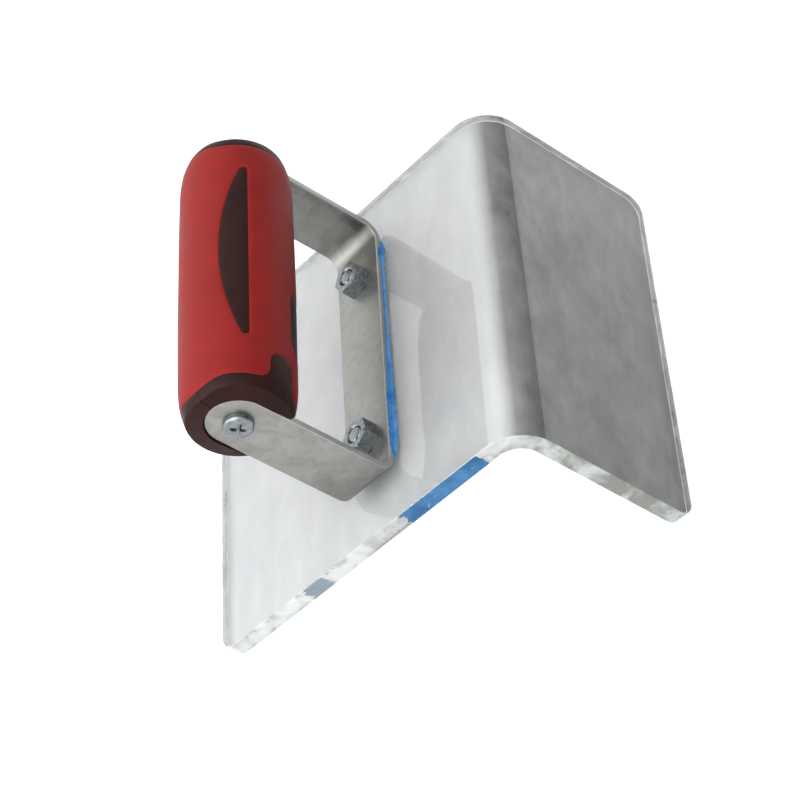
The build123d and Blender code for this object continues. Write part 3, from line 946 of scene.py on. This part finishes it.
recess_mesh = bmesh.new()
recess_radius = STRAP_WIDTH / 2 / MM + RECESS_GAP
arm_inside = (BRACKET_LENGTH / 2 - STRAP_THICKNESS) / MM
for end in (-1, 1):
    loops = []
    for along, grown in (
        (arm_inside, 0), (CAP_FACE - RECESS_LIP, 0), (CAP_FACE + RECESS_LIP, 2 * RECESS_LIP),
    ):
        reach = recess_radius + grown
        outline = [(reach * cos(radians(a)), reach * sin(radians(a))) for a in range(0, 181, 3)]
        outline += [(-reach, -RECESS_TAIL), (reach, -RECESS_TAIL)]
        loops.append([
            recess_mesh.verts.new(on_wing(
                STRAP_FROM_CORNER + x * MM, end * along * MM, AXIS_ABOVE_WING + y * MM,
            ))
            for x, y in outline
        ])
    for low, high in zip(loops, loops[1:]):
        for i in range(len(low)):
            j = (i + 1) % len(low)
            recess_mesh.faces.new((low[i], low[j], high[j], high[i]))
    recess_mesh.faces.new(loops[0])
    recess_mesh.faces.new(loops[-1])
recess = finish_mesh("arm_recesses", recess_mesh, CORE_SPLIT)
cut_out(core, recess, CORE_SPLIT)
bpy.data.objects.remove(recess)

# Glass-filled polypropylene, dark maroon: spark-eroded mould texture about 0.4 mm coarse,
# low gloss, rubbed a little shinier and paler where it is handled.
dark_plastic, tree, shader = new_material(
    "dark_maroon_plastic", IOR=1.5, Specular_IOR_Level=0.1,
)
spark = noise(tree, object_position(tree), 0.5 * MM, detail=2.0)
rubbed = noise(tree, object_position(tree), 8 * MM, detail=4.0, roughness=0.6)
tone = tint(tree, spread(tree, rubbed, 0.35, 0.68, 0, 1), colour("1B0705"), colour("220D0A"))
tree.links.new(tone, shader.inputs["Base Color"])
tree.links.new(spread(tree, rubbed, 0.35, 0.68, 0.52, 0.38), shader.inputs["Roughness"])
tree.links.new(bump(tree, spark, 0.28, 0.06 * MM), shader.inputs["Normal"])
core.data.materials.clear()
core.data.materials.append(dark_plastic)
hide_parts("handle_core")
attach(core, "root")

# --- Soft grip ------------------------------------------------------------------------------
# The red overmould: one skin about 4 mm thick with windows for the core's tabs and inlays.
GRIP_GROOVE = 0.20
GRIP_GROOVE_SPREAD = 0.45
GRIP_INSIDE = CORE_RADIUS - 0.1
SOFT_SPLIT = 40

grip_mesh = bmesh.new()
used = sorted({corner for face in soft_faces for corner in face})
grip_outer, grip_inner = {}, {}
for corner in used:
    along, angle = spots[corner]
    radius = outline_radius(along) - GRIP_GROOVE * exp(-levels[corner] / GRIP_GROOVE_SPREAD)
    grip_outer[corner] = grip_mesh.verts.new(on_handle(along, angle, radius))
    grip_inner[corner] = grip_mesh.verts.new(on_handle(along, angle, GRIP_INSIDE))
edge_uses = {}
for face in soft_faces:
    grip_mesh.faces.new([grip_outer[corner] for corner in face])
    grip_mesh.faces.new([grip_inner[corner] for corner in reversed(face)])
    for i, corner in enumerate(face):
        after = face[(i + 1) % len(face)]
        edge_uses.setdefault((min(corner, after), max(corner, after)), []).append((corner, after))
for uses in edge_uses.values():
    if len(uses) == 1:
        corner, after = uses[0]
        grip_mesh.faces.new((
            grip_outer[after], grip_outer[corner], grip_inner[corner], grip_inner[after],
        ))
grip = finish_mesh("red_grip", grip_mesh, SOFT_SPLIT)

# Thermoplastic rubber, red: matt with a soft sheen and a fine leathery grain near 0.5 mm,
# faintly mottled from handling.
red_rubber, tree, shader = new_material(
    "red_thermoplastic_rubber", IOR=1.5, Specular_IOR_Level=0.13,
)
grain = add_node(
    tree, "ShaderNodeTexVoronoi", Vector=object_position(tree), Scale=1 / (0.55 * MM),
).outputs["Distance"]
fine = noise(tree, object_position(tree), 0.35 * MM, detail=2.0)
handled = noise(tree, object_position(tree), 12 * MM, detail=4.0, roughness=0.6)
tone = tint(tree, spread(tree, handled, 0.35, 0.68, 0, 1), colour("640D0B"), colour("6E1210"))
tree.links.new(tone, shader.inputs["Base Color"])
tree.links.new(spread(tree, handled, 0.3, 0.7, 0.50, 0.62), shader.inputs["Roughness"])
grained = bump(tree, grain, 0.18, 0.05 * MM)
tree.links.new(bump(tree, fine, 0.15, 0.04 * MM, below=grained), shader.inputs["Normal"])
grip.data.materials.append(red_rubber)
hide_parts("soft_grip")
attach(grip, "root")

# --- Handle screws --------------------------------------------------------------------------
# Pan-head screws with a cross recess, driven through the bracket's arms into the core, where
# they cut their own thread.
PAN_RADIUS = 5.2 * MM
PAN_HEIGHT = 3.15 * MM
PAN_WALL = 1.7 * MM
PAN_SHANK_RADIUS = 2.45 * MM
PAN_LENGTH = 20.0 * MM
PAN_FLAT_RADIUS = 0.72 * PAN_RADIUS
PAN_ARRIS = 0.15 * MM
PAN_TIP = 0.6 * MM
PAN_TIP_HEIGHT = 0.5 * MM
PAN_POINT = 2.5 * MM
PAN_NECK = 3.0 * MM
PAN_NECK_TOP = 2.6 * MM
PAN_CROWN = 0.35 * MM
PAN_CROWN_DROPS = ((0.5, 0.12 * MM), (0.25, 0.03 * MM))
PAN_THREAD_PITCH = 1.6 * MM
PAN_THREAD_DEPTH = 0.7 * MM
CROSS_TURN = radians(56.0)
CROSS_TOP = (3.05 * MM, 0.80 * MM)
CROSS_FLOOR = (1.30 * MM, 0.34 * MM)
CROSS_DEPTH = 1.7 * MM
DOME_STEPS = 8

pan_profile = [(0, -PAN_LENGTH), (PAN_TIP, -PAN_LENGTH + PAN_TIP_HEIGHT)]
pan_profile += thread_profile(
    PAN_SHANK_RADIUS, -PAN_LENGTH + PAN_POINT, -PAN_NECK, PAN_THREAD_PITCH, PAN_THREAD_DEPTH,
)
pan_profile += [
    (PAN_SHANK_RADIUS, -PAN_NECK_TOP), (PAN_SHANK_RADIUS, 0), (PAN_RADIUS - PAN_ARRIS, 0),
    (PAN_RADIUS, PAN_ARRIS), (PAN_RADIUS, PAN_WALL - 2 * PAN_ARRIS),
]
dome_foot = PAN_WALL - PAN_ARRIS
dome_rise = PAN_HEIGHT - PAN_CROWN - dome_foot
for i in range(DOME_STEPS + 1):
    sweep = pi / 2 * i / DOME_STEPS
    pan_profile.append((
        PAN_FLAT_RADIUS + (PAN_RADIUS - PAN_FLAT_RADIUS) * cos(sweep),
        dome_foot + dome_rise * sin(sweep),
    ))
pan_profile += [(PAN_RADIUS * share, PAN_HEIGHT - drop) for share, drop in PAN_CROWN_DROPS]
pan_profile.append((0, PAN_HEIGHT))
pan_mesh = revolved(pan_profile)
pan_screw = finish_mesh("pan_screw", pan_mesh, SHEET_SPLIT)
for quarter in (0, 1):
    slot_mesh = bmesh.new()
    corners = []
    for (half_length, half_width), height in (
        (CROSS_FLOOR, PAN_HEIGHT - CROSS_DEPTH), (CROSS_TOP, PAN_HEIGHT + 0.1 * MM),
    ):
        corners.append([
            slot_mesh.verts.new(
                Matrix.Rotation(CROSS_TURN + quarter * pi / 2, 3, "Z")
                @ Vector((side_x * half_length, side_y * half_width, height))
            )
            for side_x, side_y in ((-1, -1), (1, -1), (1, 1), (-1, 1))
        ])
    for i in range(4):
        j = (i + 1) % 4
        slot_mesh.faces.new((corners[0][i], corners[0][j], corners[1][j], corners[1][i]))
    slot_mesh.faces.new(corners[0])
    slot_mesh.faces.new(corners[1])
    slot = finish_mesh("cross_slot", slot_mesh, CORE_SPLIT)
    cut_out(pan_screw, slot, SHEET_SPLIT)
    bpy.data.objects.remove(slot)
pan_cut = bmesh.new()
pan_cut.from_mesh(pan_screw.data)
bpy.data.objects.remove(pan_screw)
bmesh.ops.remove_doubles(pan_cut, verts=pan_cut.verts, dist=MERGE_DISTANCE)
arm_outside = BRACKET_LENGTH / 2
handle_screws = placed_pair(
    "pan_head_screws", pan_cut, bright_zinc,
    on_wing(STRAP_FROM_CORNER, -arm_outside, AXIS_ABOVE_WING), ALONG * 2 * arm_outside,
    Vector((pi / 2, 0, 0)), Vector((-pi, 0, 0)),
)
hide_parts("handle_screw_near", "handle_screw_far")
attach(handle_screws, "root")

# --- Film remnants --------------------------------------------------------------------------
# The sheet's outer face was covered in thin blue film. It was peeled off after the bracket
# went on, so a strip is trapped under the base and curls up its edge, and torn scraps are
# left on the near end. Each is a closed skin with ragged edges.
FILM_SEED = 7
STRIP_STATIONS = 150
STRIP_FOOT = 0.30 * MM
LEAST_REACH = 0.2 * MM
LEAST_CLIMB = 0.15 * MM
REACH_WANDER = 0.25
CLIMB_WANDER = 0.35
STRIP_REACHES = ((-1.0, 0.4), (-0.86, 1.9), (-0.5, 1.8), (-0.3, 1.3), (0.0, 0.9), (0.3, 0.7),
                 (0.6, 0.5), (0.82, 0.6), (0.9, 1.7), (0.97, 0.5))
STRIP_CLIMBS = ((-1.0, 0.3), (-0.9, 2.1), (-0.45, 2.2), (-0.3, 1.4), (-0.1, 1.1), (0.1, 0.3),
                (0.3, 0.2), (0.5, 0.9), (0.75, 0.4), (0.88, 2.0), (0.97, 0.4))
SCRAP_SPANS = {"edge_film_large": (19.5, 57.0), "edge_film_small": (98.0, 108.0)}
SCRAP_MARGIN = 0.15 * MM
SCRAP_STATIONS = 60
SCRAP_ROWS = 12
SCRAP_THICKNESS = 0.09 * MM
SCRAP_LOW_WANDER = 1.6
SCRAP_HIGH_WANDER = 0.5
AT_BASE_FADE = 2.0 * MM
DUSTY_FROM = 85.0 * MM
DUSTY_WIDTH = 10.0 * MM


def between(stops, at):
    """The value at this place along a list of (place, value) stops, in straight steps."""
    for (start, first), (stop, last) in zip(stops, stops[1:]):
        if at <= stop:
            return first + (last - first) * max(0.0, (at - start) / (stop - start))
    return stops[-1][1]


def ragged(at, seed):
    """A repeatable wobble between -1 and 1, as a torn edge wanders."""
    return (
        0.45 * sin(at * 1.7 + seed) + 0.3 * sin(at * 4.3 + 2.1 * seed)
        + 0.25 * sin(at * 9.1 + 0.7 * seed)
    )


def skin(name, rows_of_points, thick):
    """A closed skin from a grid of points, thick being the vector to its other side."""
    made = bmesh.new()
    front = [[made.verts.new(point) for point in row] for row in rows_of_points]
    back = [
        [made.verts.new(Vector(point) + shift) for point, shift in zip(row, thick(row))]
        for row in rows_of_points
    ]
    last_row, last_column = len(front) - 1, len(front[0]) - 1
    for i in range(last_row):
        for j in range(last_column):
            made.faces.new((front[i][j], front[i + 1][j], front[i + 1][j + 1], front[i][j + 1]))
            made.faces.new((back[i][j], back[i][j + 1], back[i + 1][j + 1], back[i + 1][j]))
    rim = [(i, 0) for i in range(last_row)] + [(last_row, j) for j in range(last_column)]
    rim += [(i, last_column) for i in range(last_row, 0, -1)]
    rim += [(0, j) for j in range(last_column, 0, -1)]
    for (i, j), (k, m) in zip(rim, rim[1:] + rim[:1]):
        made.faces.new((front[i][j], front[k][m], back[k][m], back[i][j]))
    return finish_mesh(name, made, SOFT_SPLIT)


half_base = BRACKET_LENGTH / 2 - strap_outer_bend
strap_edge = STRAP_FROM_CORNER - STRAP_WIDTH / 2
strip_rows = []
for i in range(STRIP_STATIONS + 1):
    share = -1 + 2 * i / STRIP_STATIONS
    along = share * half_base
    torn_out = REACH_WANDER * ragged(along / MM, FILM_SEED)
    torn_up = CLIMB_WANDER * ragged(along / MM * 1.3, FILM_SEED + 3)
    reach = max((between(STRIP_REACHES, share) + torn_out) * MM, LEAST_REACH)
    climb = max((between(STRIP_CLIMBS, share) + torn_up) * MM, LEAST_CLIMB)
    climb = min(climb, STRAP_THICKNESS)
    # From the torn top, down the strap's edge and out over the blade.
    strip_rows.append([
        on_wing(strap_edge - 0.03 * MM, along, FILM + climb),
        on_wing(strap_edge - 0.04 * MM, along, FILM + climb * 0.5),
        on_wing(strap_edge - 0.10 * MM, along, FILM + LEAST_CLIMB),
        on_wing(strap_edge - STRIP_FOOT - reach * 0.3, along, FILM),
        on_wing(strap_edge - STRIP_FOOT - reach, along, FILM * 0.6),
    ])
uphill = -DOWN_LONG
strip = skin(
    "trapped_blue_film", strip_rows,
    lambda row: [uphill * 0.08 * MM] * 2 + [(uphill - OUT_LONG) * 0.04 * MM]
    + [-OUT_LONG * 0.06 * MM, -OUT_LONG * 0.04 * MM],
)
scraps = []
for name, (start, stop) in SCRAP_SPANS.items():
    middle, half = (start + stop) / 2, (stop - start) / 2
    scrap_rows = []
    for i in range(SCRAP_ROWS + 1):
        down = i / SCRAP_ROWS
        depth = SCRAP_MARGIN + (BLADE_THICKNESS - 2 * SCRAP_MARGIN) * down
        left = middle + half + SCRAP_LOW_WANDER * ragged(down * 5.0, FILM_SEED + start)
        right = middle - half + SCRAP_HIGH_WANDER * ragged(down * 4.0, FILM_SEED + stop)
        scrap_rows.append([
            on_wing((right + (left - right) * j / SCRAP_STATIONS) * MM, -BLADE_LENGTH / 2, -depth)
            for j in range(SCRAP_STATIONS + 1)
        ])
    scrap = skin(
        name + "_scrap", scrap_rows, lambda row: [-ALONG * SCRAP_THICKNESS] * len(row),
    )
    scraps.append((scrap, name))

# Blue polyethylene film, thin and see-through: creased, and paler where it has lifted,
# stretched or gathered dust, as the scrap furthest downhill has. What is left at the base is
# painted a lighter blue: painted light, to lift it out of the strap's shadow.
blue_film, tree, shader = new_material(
    "blue_polyethylene_film", IOR=1.5, Specular_IOR_Level=0.15,
)
creases = noise(tree, object_position(tree), 2.4 * MM, detail=4.0, roughness=0.6, distortion=1.0)
faded = noise(tree, object_position(tree), 9 * MM, detail=3.0)
# The strip at the base takes lighter blues: painted light against the strap's shadow.
painted_light_at_base = spread(
    tree, distance_along(tree, ALONG), -half_base - AT_BASE_FADE, -half_base, 0, 1,
)
darker = tint(tree, painted_light_at_base, colour("1E4B70"), colour("2B5E8F"))
lighter = tint(tree, painted_light_at_base, colour("35648C"), colour("4779A5"))
tone = tint(tree, spread(tree, faded, 0.35, 0.65, 0, 1), darker, lighter)
dust_start = CORNER.dot(DOWN_LONG) + DUSTY_FROM
dusty = spread(
    tree, distance_along(tree, DOWN_LONG), dust_start, dust_start + DUSTY_WIDTH, 0, 0.75,
)
tone = tint(tree, dusty, tone, colour("767D81"))
tone = tint(tree, spread(tree, creases, 0.58, 0.72, 0, 0.4), tone, colour("8599A8"))
tree.links.new(tone, shader.inputs["Base Color"])
tree.links.new(spread(tree, creases, 0.35, 0.65, 0.22, 0.5), shader.inputs["Roughness"])
tree.links.new(bump(tree, creases, 0.35, 0.12 * MM), shader.inputs["Normal"])
for scrap, node in scraps + [(strip, "bracket_film")]:
    scrap.data.materials.append(blue_film)
    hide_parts(node)
    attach(scrap, "root")
